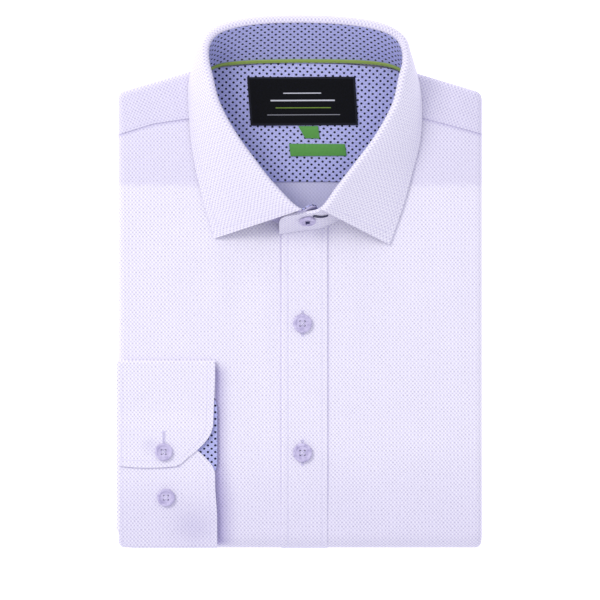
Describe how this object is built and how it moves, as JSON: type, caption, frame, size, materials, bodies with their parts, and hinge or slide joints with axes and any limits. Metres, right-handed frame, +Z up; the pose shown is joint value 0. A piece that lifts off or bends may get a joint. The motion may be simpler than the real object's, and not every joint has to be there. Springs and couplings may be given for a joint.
{
  "type": "long sleeve dress shirt",
  "caption": "Long sleeve dress shirt folded flat, collar standing open, with a button placket and one cuff brought to the front.",
  "frame": {"origin": "middle of the underside of the whole folded shirt's box", "axes": "+X to the right of the shirt as it lies, +Y from the bottom fold towards the collar, +Z up"},
  "size_m": [0.2494, 0.3632, 0.0505],
  "materials": {
    "shirting": "matt woven cotton blend, white with a fine lavender dobby grid",
    "shirting_inside": "matt reverse of the shirting, lavender grey",
    "dotted_lining": "matt periwinkle cloth with small navy pin dots",
    "green_tape": "woven lime green tape",
    "green_tab": "woven green tab, plain",
    "black_label": "woven black satin label, plain",
    "button": "semi-gloss lavender grey resin"
  },
  "bodies": {
    "root": {"folded_layers": "shirting_inside", "front_left": "shirting", "front_right": "shirting", "placket": "shirting", "yoke": "shirting", "yoke_lining": "dotted_lining", "back": "shirting_inside", "collar_stand": "shirting", "collar_stand_facing": "dotted_lining", "collar_leaf": "shirting", "neck_tape": "green_tape", "label_main": "black_label", "label_size": "green_tab", "label_fit": "green_tab", "sleeve": "shirting", "cuff": "shirting", "cuff_facing": "dotted_lining", "button_front_1": "button", "button_front_2": "button", "button_cuff_1": "button", "button_cuff_2": "button", "button_collar": "button"}
  },
  "joints": []
}
